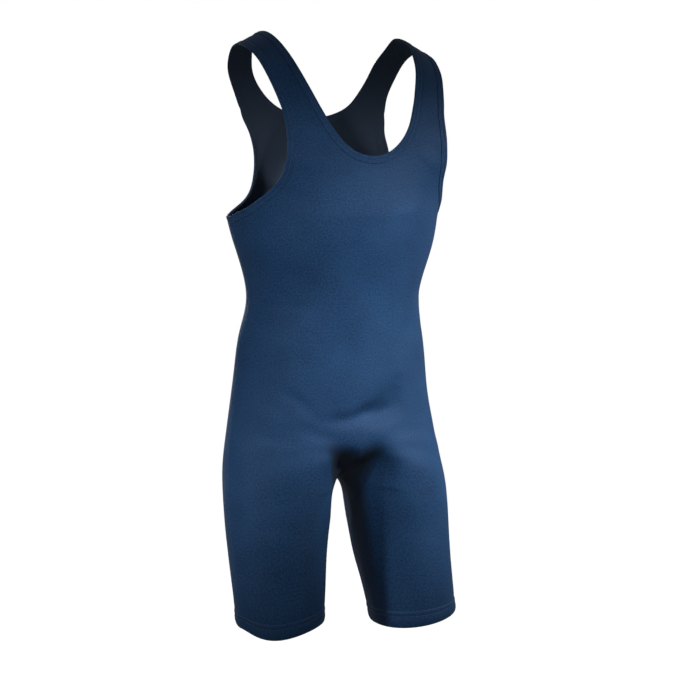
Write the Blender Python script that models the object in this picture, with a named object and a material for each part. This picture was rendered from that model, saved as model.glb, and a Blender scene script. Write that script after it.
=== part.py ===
"""Wrestling singlet, filled out as it is worn, with no wearer.

The cut is one front and one back panel, each from the strap tops to the legs, with a
doubled binding round the neck and both armholes and an elastic hem on each leg. The cloth
lies on a general figure, given as sections down the body, and each piece is a wall on it.

Sizes are in millimetres on the figure: x to the wearer's left, y to the back, z up from
the top of the straps. They are written out in metres about the point where the shoulders
hold the garment.
"""

import math
from collections import namedtuple

import bmesh
import bpy
import numpy as np
from mathutils import Vector

OBJECT_NAME = "wrestling_singlet"
MM = 0.001
HELD_AT = Vector((0.0, 24.0, -9.0))  # midway between the strap tops

# Cloth
PANEL_WALL = 1.4
BINDING_WALL = 2.2
BINDING_RAISED = 0.4
BINDING_WIDTH = 11.0
HEM_WALL = 2.2
HEM_RAISED = 0.4
HEM_BULGE = 0.9
HEM_DEPTH = 19.0
SEAM_GAP = 0.3

# Grid of one half of a panel and of what is sewn to it
STRAP_ROWS = 14
CHEST_ROWS = 6
BODY_ROWS = 22
LEG_ROWS = 8
LEG_SPREAD = 1.4  # crowds the leg's rows towards the crotch
HEM_ROWS = 3
COLUMNS = 12
BINDING_COLUMNS = 2
FINE = 240  # steps along a drawn edge

# Above the chest the sections swing about a level line inside the shoulders, from the
# shoulder seam to the level of that line. Below it they are level.
SWING_Y = 8.0
SWING_Z = -110.0
SWING_LENGTH = 160.0
SHOULDER_LEAN = 9.0

# Each section is part of an ellipse. "down" is the tape length from the shoulder seam,
# "middle" the y of its widest line, "reach" its half depth towards the front or the back.
Shoulder = namedtuple("Shoulder", "down middle half_width reach")
FRONT_SHOULDER = (
    Shoulder(0, 8, 195, 130.5),
    Shoulder(39, 8, 208, 117),
    Shoulder(71, 8, 232, 104),
    Shoulder(103, 8, 254, 98.5),
    Shoulder(136, 8, 270, 99),
    Shoulder(160, 8, 276, 106),
    Shoulder(185, 11, 292, 118),
    Shoulder(210, 13, 315, 125),
    Shoulder(233, 15, 300, 129),
    Shoulder(252, 16.5, 230, 134),
    Shoulder(272, 18, 186, 139.5),
    Shoulder(292, 19.5, 168, 143.5),
)
BACK_SHOULDER = (
    Shoulder(0, 8, 195, 130.5),
    Shoulder(41, 8, 240, 113),
    Shoulder(80, 8, 256, 101.5),
    Shoulder(120, 8, 248, 87),
    Shoulder(160, 8, 224, 76.5),
    Shoulder(180, 10, 166, 76.5),
    Shoulder(205, 12.5, 127, 77.5),
    Shoulder(230, 15, 117, 78.5),
    Shoulder(255, 17, 117, 78),
    Shoulder(275, 18.5, 121, 77),
    Shoulder(295, 19.5, 134.5, 76),
)

# Sections of the body and the legs, at their height on the side seam. "side" is the x of
# the side seam, "middle" its y, "front" and "back" the y of the foremost and rearmost lines.
Body = namedtuple("Body", "height middle side front back")
BODY = (
    Body(-267, 20.5, 159.5, -125, 95),
    Body(-300, 16, 152.5, -119, 91),
    Body(-340, 13, 140.5, -106.5, 84.5),
    Body(-385, 15, 132.5, -94, 78),
    Body(-430, 20.5, 141.5, -87, 78.5),
    Body(-480, 21, 149, -83, 88),
    Body(-535, 19, 155.5, -81, 103),
    Body(-590, 13, 164.8, -81, 110),
    Body(-635, 3, 170.3, -82.5, 101),
    Body(-680, -4, 172, -83.5, 81),
    Body(-725, -11, 172, -87, 66),
    Body(-775, -22, 170.5, -93, 49),
    Body(-820, -32.5, 169.5, -98.5, 34),
    Body(-843, -37, 169, -102, 28),
)

# How steeply the sections leave the centre line towards the thighs: the rise in each half
# if it kept on. It keeps the two halves in one soft surface.
Climb = namedtuple("Climb", "height front back")
CLIMB = (
    Climb(-480, 0, 0),
    Climb(-520, 20, 14),
    Climb(-545, 46, 28),
    Climb(-570, 84, 52),
    Climb(-590, 108, 76),
    Climb(-604, 108, 86),
    Climb(-619, 104, 84),
    Climb(-637, 104, 66),
    Climb(-656, 86, 38),
    Climb(-680, 0, 0),
)
CROTCH_HEIGHT = -680  # of the section that passes through the crotch, on the side seam
HEM_HEIGHT = -843
# How the cloth of each leg hangs at the hem: how much higher it is at the inseam and at the
# side, and how much lower between them on the front, which is as much higher behind. Above a
# skew of 1 the lowest place lies nearer the side, below it nearer the inseam.
Hang = namedtuple("Hang", "inseam side drop skew")
RIGHT_HANG = Hang(8, 0, 12, 1.8)
LEFT_HANG = Hang(-10, 5, 4, 0.7)
THIGH_BACK = 8.0  # the fullest line of the inner thigh lies behind that of the outer

# The inner end of a section at its height on the side seam: "turn" is how far it has turned
# in under the body, in degrees, and "rise" how much higher it lies than the side seam.
Under = namedtuple("Under", "height turn rise")
FRONT_UNDER = (
    Under(-545, 0, 0),
    Under(-575, 0.4, 0),
    Under(-592, 3, 0),
    Under(-604, 11, 1),
    Under(-619, 16, 7),
    Under(-637, 32, 16),
    Under(-656, 58, 25),
    Under(-680, 90, 35),
)
BACK_UNDER = (
    Under(-545, 0, 0),
    Under(-568, 0.7, 0),
    Under(-590, 4.5, 0),
    Under(-612, 16, -1),
    Under(-635, 34, 3),
    Under(-658, 60, 15),
    Under(-680, 90, 35),
)
CROTCH_AT = Vector((0, -4, -645))
CROTCH_SOFT = 72.0
CROTCH_PASSES = 3
WELD = 0.05
Inseam = namedtuple("Inseam", "height x z")
INSEAM = (
    Inseam(-680, 0, -645),
    Inseam(-686, 9.5, -647),
    Inseam(-695, 14.5, -656),
    Inseam(-714, 18.8, -680),
    Inseam(-750, 26.5, -729),
    Inseam(-790, 35, -780),
    Inseam(-820, 41.5, -818),
    Inseam(-843, 45.5, -845),
)
# The x from which the rest of a section spreads. It passes the crotch more softly than the
# inner end does, so that the front and the back of the thigh stay smooth.
Spread = namedtuple("Spread", "height x")
SPREAD = (
    Spread(-600, 0),
    Spread(-630, 0),
    Spread(-655, 2),
    Spread(-680, 7),
    Spread(-700, 12.5),
    Spread(-722, 19),
    Spread(-750, 26.5),
    Spread(-790, 35),
    Spread(-820, 41.5),
    Spread(-843, 45.5),
)
# The hollow between the thighs, as a share of the depth of the section
Hollow = namedtuple("Hollow", "height front back")
HOLLOWS = (
    Hollow(-575, 0, 0),
    Hollow(-592, 0.015, 0),
    Hollow(-604, 0.07, 0.01),
    Hollow(-619, 0.19, 0.03),
    Hollow(-637, 0.31, 0.06),
    Hollow(-656, 0.36, 0.08),
    Hollow(-680, 0.25, 0.06),
    Hollow(-705, 0.08, 0.02),
    Hollow(-730, 0, 0),
)
HOLLOW_REACH = 43.0

# Finished edges of the neck and of an armhole
Edge = namedtuple("Edge", "x y z")
NECK_FRONT = (
    Edge(0, -113, -183),
    Edge(25, -112.5, -177.5),
    Edge(45, -110, -162.4),
    Edge(57.6, -107, -146),
    Edge(67, -102.5, -129.4),
    Edge(77.7, -91.6, -104),
    Edge(86.8, -78.9, -78.4),
    Edge(95.8, -62.8, -52.3),
    Edge(103.8, -36.4, -25),
    Edge(108.8, -4, -6),
)
SHOULDER_AT_NECK = Edge(111, 25.4, 0)
NECK_BACK = (
    Edge(110, 50, -12.5),
    Edge(103.7, 71.9, -32),
    Edge(93.5, 82.2, -57),
    Edge(77.9, 85.3, -82.5),
    Edge(61, 83.8, -99.7),
    Edge(33, 83.5, -113),
    Edge(0, 84, -118),
)
SHOULDER_AT_ARM = Edge(148.8, 22, -21)
ARMHOLE_FRONT = (
    Edge(148.8, 5, -24),
    Edge(148, -11.5, -29.7),
    Edge(146, -32.8, -40.1),
    Edge(138.3, -67.6, -76.2),
    Edge(132.8, -81.6, -101.9),
    Edge(127.6, -92.5, -127.2),
    Edge(126.9, -101, -155.1),
    Edge(129.2, -102, -191.9),
    Edge(133.3, -92, -212.6),
    Edge(144.8, -50, -243.3),
    Edge(152.9, -25, -255.3),
    Edge(160.5, 3, -263),
)
UNDERARM = Edge(160, 20.5, -265.5)
ARMHOLE_BACK = (
    Edge(154.5, 29, -260),
    Edge(136.5, 36, -250),
    Edge(122, 37, -236),
    Edge(113.5, 36, -214),
    Edge(111.5, 38, -188),
    Edge(111, 45.5, -163),
    Edge(111.5, 58.5, -141),
    Edge(115.5, 70, -116),
    Edge(122.6, 77, -93.6),
    Edge(136.2, 75, -59.4),
    Edge(146.3, 52, -29),
)

# Where the row from the bottom of the neck meets the armhole, as a share of its seam, and
# the height on the centre line of the row that ends under the arm.
Corner = namedtuple("Corner", "armhole_share chest_height")
FRONT_CORNER = Corner(0.76, -276)
BACK_CORNER = Corner(0.62, -269)

# Largest folds, as soft troughs on the front between two points
Fold = namedtuple("Fold", "x0 z0 x1 z1 width depth")
FOLD_ENDS = 2.2  # how soon a fold fades out at its ends
FOLDS = (
    Fold(-54, -558, 74, -498, 14, 3.8),
    Fold(20, -560, 95, -548, 15, 1.4),
    Fold(-128, -584, -84, -592, 9, 1.2),
    Fold(62, -640, 118, -676, 14, 1.8),
    Fold(-62, -652, -112, -668, 14, 1.6),
)

PANEL_COLOUR = (0.015, 0.053, 0.137, 1.0)
BINDING_COLOUR = (0.018, 0.060, 0.150, 1.0)

# Each kind of piece: its wall, how far it stands above the panels, and its look
Kind = namedtuple("Kind", "wall raised colour roughness")
KINDS = {
    "panel": Kind(PANEL_WALL, 0.0, PANEL_COLOUR, 0.5),
    "binding": Kind(BINDING_WALL, BINDING_RAISED, BINDING_COLOUR, 0.55),
    "hem": Kind(HEM_WALL, HEM_RAISED, BINDING_COLOUR, 0.55),
}


def spline(knots, values):
    """A natural cubic curve through the values at the knots."""
    x = np.asarray(knots, float)
    y = np.asarray(values, float)
    gap = np.diff(x)
    slope = np.diff(y, axis=0) / gap.reshape((-1,) + (1,) * (y.ndim - 1))
    system = np.eye(len(x))
    right = np.zeros_like(y)
    for i in range(1, len(x) - 1):
        system[i, i - 1 : i + 2] = gap[i - 1], 2 * (gap[i - 1] + gap[i]), gap[i]
        right[i] = 6 * (slope[i] - slope[i - 1])
    bend = np.linalg.solve(system, right)

    def at(where):
        where = np.asarray(where, float)
        i = np.clip(np.searchsorted(x, where) - 1, 0, len(gap) - 1)
        shape = where.shape + (1,) * (y.ndim - 1)
        h = gap[i].reshape(shape)
        a = (x[i + 1] - where).reshape(shape)
        b = (where - x[i]).reshape(shape)
        curved = (bend[i] * a**3 + bend[i + 1] * b**3) / (6 * h)
        return curved + (y[i] / h - bend[i] * h / 6) * a + (y[i + 1] / h - bend[i + 1] * h / 6) * b

    return at


def joined(upper, lower):
    """A curve through two tables of (knot, value). Along the lower one it follows that alone."""
    whole = spline(*zip(*upper, *lower))
    below = spline(*zip(*lower))
    start = lower[0][0]
    return lambda where: np.where(where < start, whole(where), below(where))


def down_of(height):
    return SWING_LENGTH + SWING_Z - height


class Figure:
    """The front or the back of the general figure under the cloth, for x above 0."""

    def __init__(self, facing, shoulder, under):
        self.facing = facing  # -1 for the front, 1 for the back
        self.swing = 90 - SHOULDER_LEAN * facing
        down = [down_of(row.height) for row in BODY]
        face = [row.front if facing < 0 else row.back for row in BODY]
        self.middle = joined(
            [(row.down, row.middle) for row in shoulder],
            [(d, row.middle) for d, row in zip(down, BODY)],
        )
        self.side = joined(
            [(row.down, row.half_width) for row in shoulder],
            [(d, row.side) for d, row in zip(down, BODY)],
        )
        self.reach = joined(
            [(row.down, row.reach) for row in shoulder],
            [(d, facing * (y - row.middle)) for d, y, row in zip(down, face, BODY)],
        )
        self.under = spline([down_of(row.height) for row in under], [row[1:] for row in under])
        self.inseam = spline([down_of(row.height) for row in INSEAM], [row[1:] for row in INSEAM])
        climb = [row.front if facing < 0 else row.back for row in CLIMB]
        self.climb = spline([down_of(row.height) for row in CLIMB], climb)
        self.turns_under = down_of(under[0].height)
        self.spread = spline([down_of(row.height) for row in SPREAD], [row.x for row in SPREAD])
        hollows = [row.front if facing < 0 else row.back for row in HOLLOWS]
        self.hollow = spline([down_of(row.height) for row in HOLLOWS], hollows)

    def inner_end(self, down):
        """x and z of the inner end of the sections, and how far it has turned in."""
        turn = np.where(down > CROTCH, -math.pi / 2, 0)
        x = np.zeros_like(turn)
        z = level(down)
        under = (down > self.turns_under) & (down <= CROTCH)
        degrees, rise = self.under(down[under]).T
        turn[under] = -np.radians(degrees)
        z[under] += rise
        leg = down > CROTCH
        x[leg], z[leg] = self.inseam(down[leg]).T
        return x, z, turn

    def at(self, down, share):
        """Points of the surface. share runs from 0 at the inner end to 1 at the widest line."""
        down, share = np.broadcast_arrays(np.asarray(down, float), np.asarray(share, float))
        middle, reach, side = self.middle(down), self.reach(down), self.side(down)
        x0, z0, first_turn = self.inner_end(down)
        turn = first_turn + share * (math.pi / 2 - first_turn)
        spread = np.where(down > SPREAD_START, self.spread(down), 0)
        half_width = (side - spread) / (1 - np.sin(first_turn))
        x = side - half_width * (1 - np.sin(turn)) + (x0 - spread) * (1 - share) ** 3
        hollow = np.where((down > HOLLOW_START) & (down < HOLLOW_END), self.hollow(down), 0)
        out = reach * np.cos(turn) * (1 - hollow * np.exp(-((x / HOLLOW_REACH) ** 4)))
        lean = np.radians(SHOULDER_LEAN * self.facing + self.swing * np.minimum(down / SWING_LENGTH, 1))
        y = middle + self.facing * out * np.sin(lean)
        z = level(down) + out * np.cos(lean)
        z += (z0 - level(down)) * (1 - share) ** 2 * (1 + 2 * share)
        climbs = (down > CLIMB_START) & (down < CROTCH)
        z += np.where(climbs, self.climb(down), 0) * share * (1 - share) ** 2
        y += THIGH_BACK * (np.sin(math.pi * leg_share(down)) * np.cos(math.pi / 2 * share)) ** 2
        return np.stack([x, y, z], -1)

    def find(self, points):
        """Where points near the surface lie on it, as down and share, above the hips."""
        x, y, z = np.moveaxis(points, -1, 0)
        y = y - SWING_Y
        z = z - SWING_Z
        lean = np.degrees(np.arctan2(self.facing * y, z)) - SHOULDER_LEAN * self.facing
        down = np.where(z < 0, SWING_LENGTH - z, SWING_LENGTH * lean / self.swing)
        out = np.where(z < 0, self.facing * (y + SWING_Y - self.middle(down)), np.hypot(y, z))
        turn = np.arctan2(x / self.side(down), out / self.reach(down))
        return np.stack([down, turn / (math.pi / 2)], -1)

    def normal(self, down, share):
        """The outward direction of the surface."""
        step = 0.5
        lift = 0.002
        share = np.clip(share, lift, 1 - lift)
        along = self.at(down + step, share) - self.at(down - step, share)
        across = self.at(down, share + lift) - self.at(down, share - lift)
        return unit(np.cross(across, along) * self.facing)


def level(down):
    return SWING_Z - np.maximum(down - SWING_LENGTH, 0)


def leg_share(down):
    return np.clip((down - CROTCH) / (HEM - CROTCH), 0, 1)


def hang(figure, down, share, mirror):
    """How much higher the leg's cloth lies than its section, on the left (1) or the right (-1)."""
    leg = LEFT_HANG if mirror > 0 else RIGHT_HANG
    lowest = np.sin(math.pi * share**leg.skew) ** 2
    side = np.sin(math.pi / 2 * share) ** 2
    return leg_share(down) ** 2 * (
        figure.facing * leg.drop * lowest + leg.inseam * (1 - side) + leg.side * side
    )


def unit(vectors):
    return vectors / np.linalg.norm(vectors, axis=-1, keepdims=True)


CROTCH = down_of(CROTCH_HEIGHT)
CLIMB_START = down_of(CLIMB[0].height)
SPREAD_START = down_of(SPREAD[0].height)
HOLLOW_START = down_of(HOLLOWS[0].height)
HOLLOW_END = down_of(HOLLOWS[-1].height)
HEM = down_of(HEM_HEIGHT)
HEM_TOP = HEM - HEM_DEPTH
FRONT = Figure(-1, FRONT_SHOULDER, FRONT_UNDER)
BACK = Figure(1, BACK_SHOULDER, BACK_UNDER)


def drawn_line(before, points, after):
    """A smooth line through points, led in and out by more of them, and its length at each."""
    path = np.array([*before, *points, *after], float)
    knots = np.cumsum([0, *np.linalg.norm(np.diff(path, axis=0), axis=1)])
    return spline(knots, path), knots[len(before) : len(before) + len(points)]


class Border:
    """A finished edge on one figure from the shoulder, and the seam a binding's width inside it."""

    def __init__(self, figure, line, start, end):
        where = np.linspace(start, end, FINE + 1)
        step = 0.5
        self.figure = figure
        self.edge = figure.find(line(where))
        along = unit(line(where + step) - line(where - step))
        into = unit(np.cross(along, figure.normal(*self.edge.T)))
        self.seam = figure.find(figure.at(*self.edge.T) + BINDING_WIDTH * into)

    def sample(self, shares):
        """The edge and the seam at shares of the seam's length."""
        points = self.figure.at(*self.seam.T)
        run = np.cumsum([0, *np.linalg.norm(np.diff(points, axis=0), axis=1)])
        where = np.asarray(shares) * run[-1]
        lines = (self.edge, self.seam)
        return [np.stack([np.interp(where, run, column) for column in line.T], -1) for line in lines]


def neck_borders():
    """The neck's front and back borders, each from the shoulder to the centre line."""
    points = [*NECK_FRONT, SHOULDER_AT_NECK, *NECK_BACK]
    before = [(-x, y, z) for x, y, z in NECK_FRONT[2:0:-1]]
    after = [(-x, y, z) for x, y, z in NECK_BACK[-2:-4:-1]]
    line, length = drawn_line(before, points, after)
    shoulder = length[len(NECK_FRONT)]
    front = Border(FRONT, line, shoulder, length[0])
    back = Border(BACK, line, shoulder, length[-1])
    for path in (front.edge, front.seam, back.edge, back.seam):
        path[0, 0] = 0
        path[-1, 1] = 0
    share_start(front, back)
    return front, back


def armhole_borders():
    """The armhole's front and back borders, each from the shoulder to under the arm."""
    points = [SHOULDER_AT_ARM, *ARMHOLE_FRONT, UNDERARM, *ARMHOLE_BACK, SHOULDER_AT_ARM]
    line, length = drawn_line(ARMHOLE_BACK[-3:], points, ARMHOLE_FRONT[:3])
    underarm = length[len(ARMHOLE_FRONT) + 1]
    front = Border(FRONT, line, length[0], underarm)
    back = Border(BACK, line, length[-1], underarm)
    for name in ("edge", "seam"):
        paths = [getattr(border, name) for border in (front, back)]
        lowest = max(path[:, 0].max() for path in paths)
        for path in paths:
            path[-1] = lowest, 1
    for path in (front.edge, front.seam, back.edge, back.seam):
        path[0, 0] = 0
    share_start(front, back)
    return front, back


def share_start(front, back):
    """Give both borders the same points on the shoulder seam."""
    for one, other in ((front.edge, back.edge), (front.seam, back.seam)):
        one[0, 1] = other[0, 1] = (one[0, 1] + other[0, 1]) / 2


def between(one, other, steps):
    """Grid of down and share from the rows' inner ends to their outer ends."""
    return one[:, None] + (other - one)[:, None] * np.linspace(0, 1, steps + 1)[:, None]


def panel_grid(neck, armhole, corner):
    """down and share of the grid of half a panel, row by row from the shoulder to the hem's top."""
    strap = np.linspace(0, 1, STRAP_ROWS + 1)
    chest = np.linspace(corner.armhole_share, 1, CHEST_ROWS + 1)
    body = np.linspace(0, 1, BODY_ROWS + 1)[:, None]
    leg = CROTCH + (HEM_TOP - CROTCH) * np.linspace(0, 1, LEG_ROWS + 1)[1:] ** LEG_SPREAD
    neck_seam = neck.sample(strap)[1]
    chest_down = down_of(corner.chest_height)
    centre = np.stack([np.linspace(neck_seam[-1, 0], chest_down, CHEST_ROWS + 1), 0 * chest], -1)
    arm_seam = armhole.sample(np.concatenate([strap * corner.armhole_share, chest[1:]]))[1]
    underarm = arm_seam[-1]
    inner_body = centre[-1] + body * (np.array((CROTCH, 0)) - centre[-1])
    outer_body = underarm + body * (np.array((CROTCH, 1)) - underarm)
    inner_leg = np.stack([leg, 0 * leg], -1)
    inner = np.concatenate([neck_seam, centre[1:], inner_body[1:], inner_leg])
    outer = np.concatenate([arm_seam, outer_body[1:], inner_leg + (0, 1)])
    return between(inner, outer, COLUMNS)


def binding_grid(border, shares):
    edge, seam = border.sample(shares)
    return between(edge, seam, BINDING_COLUMNS)


def hem_grid():
    down = np.linspace(HEM_TOP, HEM, HEM_ROWS + 1)
    inner = np.stack([down, 0 * down], -1)
    return between(inner, inner + (0, 1), COLUMNS)


class Skin:
    """All the outer faces of the garment in one surface, each face marked with its piece."""

    def __init__(self):
        self.mesh = bmesh.new()
        self.pieces = []
        self.piece_of = self.mesh.faces.layers.int.new("piece")
        self.raised = self.mesh.verts.layers.float.new("raised")
        self.outward = self.mesh.verts.layers.float_vector.new("outward")

    def add(self, piece, figure, grid, turned=False, bulge=0.0):
        """Lay a grid of down and share on the figure. turned swaps which way its faces look."""
        if piece not in self.pieces:
            self.pieces.append(piece)
        rows, columns = grid.shape[0] - 1, grid.shape[1] - 1
        side = -1 if piece.startswith("right") else 1
        for mirror in (side,) if piece.startswith(("left", "right")) else (1, -1):
            points = figure.at(grid[..., 0], grid[..., 1]) * (mirror, 1, 1)
            points[..., 2] += hang(figure, grid[..., 0], grid[..., 1], mirror)
            made = bmesh.ops.create_grid(self.mesh, x_segments=columns, y_segments=rows, size=0.5)["verts"]
            for vert in made:
                column = round((vert.co.x + 0.5) * columns)
                row = round((vert.co.y + 0.5) * rows)
                vert.co = points[row, column]
                vert[self.raised] = bulge * math.sin(math.pi * row / rows)
            faces = {face for vert in made for face in vert.link_faces}
            for face in faces:
                face[self.piece_of] = self.pieces.index(piece)
            if (figure.facing * mirror < 0) != turned:
                bmesh.ops.reverse_faces(self.mesh, faces=list(faces))

    def sew(self):
        """Join the grids, soften the crotch, add the folds and note the normals."""
        bmesh.ops.remove_doubles(self.mesh, verts=self.mesh.verts[:], dist=WELD)
        crotch = [vert for vert in self.mesh.verts if (vert.co - CROTCH_AT).length < CROTCH_SOFT]
        for _ in range(CROTCH_PASSES):
            bmesh.ops.smooth_vert(
                self.mesh, verts=crotch, factor=0.5, use_axis_x=True, use_axis_y=True, use_axis_z=True
            )
        self.mesh.normal_update()
        for vert in self.mesh.verts:
            vert[self.outward] = vert.normal
        for vert in self.mesh.verts:
            vert.co -= vert[self.outward] * fold_depth(vert.co)
        self.mesh.normal_update()
        for vert in self.mesh.verts:
            vert[self.outward] = vert.normal

    def solid(self, piece, wall, raised):
        """The wall of one piece, drawn back from its seams by half the gap."""
        mesh = self.mesh.copy()
        number = self.pieces.index(piece)
        others = [face for face in mesh.faces if face[mesh.faces.layers.int["piece"]] != number]
        bmesh.ops.delete(mesh, geom=others, context="FACES")
        draw_back(mesh, SEAM_GAP / 2)
        bulge = mesh.verts.layers.float["raised"]
        outward = mesh.verts.layers.float_vector["outward"]
        inner = bmesh.ops.extrude_face_region(mesh, geom=mesh.faces[:])["geom"]
        inner = {part for part in inner if isinstance(part, bmesh.types.BMVert)}
        for vert in mesh.verts:
            lift = raised - wall if vert in inner else raised + vert[bulge]
            vert.co += vert[outward] * lift
        bmesh.ops.recalc_face_normals(mesh, faces=mesh.faces[:])
        return mesh


def fold_depth(point):
    """How deep the folds of the front are at a point."""
    depth = 0.0
    if point.y > SWING_Y:
        return depth
    for fold in FOLDS:
        start = Vector((fold.x0, fold.z0))
        path = Vector((fold.x1, fold.z1)) - start
        offset = Vector((point.x, point.z)) - start
        share = offset.dot(path) / path.length_squared
        across = abs(offset.cross(path)) / path.length
        along = math.exp(-((FOLD_ENDS * (share - 0.5)) ** 4))
        depth += fold.depth * along * math.exp(-((across / fold.width) ** 2))
    return depth


def draw_back(mesh, distance):
    """Move the open borders of a surface inwards along it."""
    moves = {}
    for edge in mesh.edges:
        if not edge.is_boundary:
            continue
        loop = edge.link_loops[0]
        along = loop.link_loop_next.vert.co - loop.vert.co
        into = loop.face.normal.cross(along).normalized()
        for vert in edge.verts:
            moves.setdefault(vert, []).append(into)
    for vert, into in moves.items():
        total = sum(into, Vector())
        vert.co += total * (distance * len(into) / total.length_squared)


def material(name, colour, roughness):
    made = bpy.data.materials.new(name)
    made.use_nodes = True
    shader = made.node_tree.nodes["Principled BSDF"]
    shader.inputs["Base Color"].default_value = colour
    shader.inputs["Roughness"].default_value = roughness
    return made


def write_out(collection, piece, mesh, colour, roughness):
    """A named object in metres about the point where the garment is held."""
    for vert in mesh.verts:
        vert.co = (vert.co - HELD_AT) * MM
    data = bpy.data.meshes.new(piece)
    mesh.to_mesh(data)
    mesh.free()
    data.materials.append(material(f"{piece}_cloth", colour, roughness))
    collection.objects.link(bpy.data.objects.new(piece, data))


def build():
    for leftover in list(bpy.data.objects):
        bpy.data.objects.remove(leftover)
    collection = bpy.data.collections.new(OBJECT_NAME)
    bpy.context.scene.collection.children.link(collection)
    front_neck, back_neck = neck_borders()
    front_arm, back_arm = armhole_borders()
    skin = Skin()
    neck_shares = np.linspace(0, 1, STRAP_ROWS + 1)
    for figure, panel, neck, arm, corner in (
        (FRONT, "front_panel", front_neck, front_arm, FRONT_CORNER),
        (BACK, "back_panel", back_neck, back_arm, BACK_CORNER),
    ):
        chest = np.linspace(corner.armhole_share, 1, CHEST_ROWS + 1)[1:]
        arm_shares = np.concatenate([neck_shares * corner.armhole_share, chest])
        skin.add(panel, figure, panel_grid(neck, arm, corner))
        skin.add("neck_binding", figure, binding_grid(neck, neck_shares))
        for side in ("right", "left"):
            skin.add(f"{side}_armhole_binding", figure, binding_grid(arm, arm_shares), turned=True)
            skin.add(f"{side}_leg_hem", figure, hem_grid(), bulge=HEM_BULGE)
    skin.sew()
    for piece in skin.pieces:
        kind = KINDS[piece.rsplit("_", 1)[1]]
        solid = skin.solid(piece, kind.wall, kind.raised)
        write_out(collection, piece, solid, kind.colour, kind.roughness)
    skin.mesh.free()


build()
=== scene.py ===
"""Wrestling singlet, filled out as it is worn: its cloth, bindings, hems and stitching.

Sizes are in millimetres on the figure: x to the wearer's left, y to the back, z up from
the top of the straps. The pieces are written out in metres about the point where the
shoulders hold the garment.
"""

import math
from collections import namedtuple

import bmesh
import bpy
import numpy as np
from mathutils import Matrix, Vector
from mathutils.bvhtree import BVHTree


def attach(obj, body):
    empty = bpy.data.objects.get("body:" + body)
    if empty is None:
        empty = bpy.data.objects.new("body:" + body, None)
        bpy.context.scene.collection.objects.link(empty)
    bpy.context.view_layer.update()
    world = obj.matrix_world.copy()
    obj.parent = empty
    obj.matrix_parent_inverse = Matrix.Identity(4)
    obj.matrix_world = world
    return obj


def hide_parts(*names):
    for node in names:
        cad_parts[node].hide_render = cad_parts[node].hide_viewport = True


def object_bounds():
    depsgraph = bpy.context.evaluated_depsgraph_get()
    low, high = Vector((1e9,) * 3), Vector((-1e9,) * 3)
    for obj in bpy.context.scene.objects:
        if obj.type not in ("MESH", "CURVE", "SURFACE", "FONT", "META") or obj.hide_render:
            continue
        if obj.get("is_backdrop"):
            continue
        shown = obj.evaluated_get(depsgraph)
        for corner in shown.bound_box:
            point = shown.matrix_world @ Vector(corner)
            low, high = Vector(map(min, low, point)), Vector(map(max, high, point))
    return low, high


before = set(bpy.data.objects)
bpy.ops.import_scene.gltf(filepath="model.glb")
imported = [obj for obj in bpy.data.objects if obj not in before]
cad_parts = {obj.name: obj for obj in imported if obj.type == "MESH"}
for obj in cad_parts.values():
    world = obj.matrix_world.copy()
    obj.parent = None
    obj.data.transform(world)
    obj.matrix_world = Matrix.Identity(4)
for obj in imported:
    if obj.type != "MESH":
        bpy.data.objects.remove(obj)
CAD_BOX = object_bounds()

MM = 0.001
HELD_AT = Vector((0.0, 24.0, -9.0))  # midway between the strap tops
SIDES = {"right": -1, "left": 1}  # the wearer's, and the sign of x there


def many(kind, *rows):
    """A table whose rows are all of one kind."""
    return tuple(kind(*row) for row in rows)


# Cloth
PANEL_WALL = 1.4
BINDING_WIDTH = 11.0
HEM_DEPTH = 19.0
BAND_DIP = 0.65  # how far the panel sinks where a binding is sewn on
BAND_DIP_REACH = 2.4
SEAM_DIP = 0.3  # at the side seams, inseams and shoulders
SEAM_DIP_REACH = 1.3
HEM_DIP = 0.15
NO_SEAM = 100.0  # far enough from a seam for no dip
SEWN_WITHIN = 0.03  # points of neighbouring pieces that are the same point
RIM_ANGLE = math.radians(62)  # a wall's face turns by more than this into its rim

# Grid of one half of a panel and of what is sewn to it
STRAP_ROWS = 60
CHEST_ROWS = 22
BODY_ROWS = 96
LEG_ROWS = 36
LEG_SPREAD = 1.4
FINE = 240  # steps along a drawn edge
ROW_ENDS = np.array((0.0, 0.008, 0.02, 0.038, 0.06))  # shares of a row, closer at its seams
ACROSS = np.concatenate([ROW_ENDS, np.linspace(0.085, 0.915, 35), 1 - ROW_ENDS[::-1]])
STRAP = np.linspace(0, 1, STRAP_ROWS + 1)  # shares of a seam, from the shoulder
RUN_STEPS = 16  # steps of the tape laid across a panel
STEP = 0.5  # along the surface, to find its heading
SHARE_STEP = 0.002

# Above the chest the sections swing about a level line inside the shoulders, from the
# shoulder seam to the level of that line. Below it they are level.
SWING_Y = 8.0
SWING_Z = -110.0
SWING_LENGTH = 160.0
SHOULDER_LEAN = 9.0

# Each section is part of an ellipse. "down" is the tape length from the shoulder seam,
# "middle" the y of its widest line, "reach" its half depth towards the front or the back.
Shoulder = namedtuple("Shoulder", "down middle half_width reach")
FRONT_SHOULDER = many(
    Shoulder,
    (0, 8, 195, 130.5),
    (39, 8, 208, 117),
    (71, 8, 232, 104),
    (103, 8, 254, 98.5),
    (136, 8, 270, 99),
    (160, 8, 276, 106),
    (185, 11, 292, 118),
    (210, 13, 315, 125),
    (233, 15, 300, 129),
    (252, 16.5, 230, 134),
    (272, 18, 186, 139.5),
    (292, 19.5, 168, 143.5),
)
BACK_SHOULDER = many(
    Shoulder,
    (0, 8, 195, 130.5),
    (41, 8, 240, 113),
    (80, 8, 256, 101.5),
    (120, 8, 248, 87),
    (160, 8, 224, 76.5),
    (180, 10, 166, 76.5),
    (205, 12.5, 127, 77.5),
    (230, 15, 117, 78.5),
    (255, 17, 117, 78),
    (275, 18.5, 121, 77),
    (295, 19.5, 134.5, 76),
)

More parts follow.
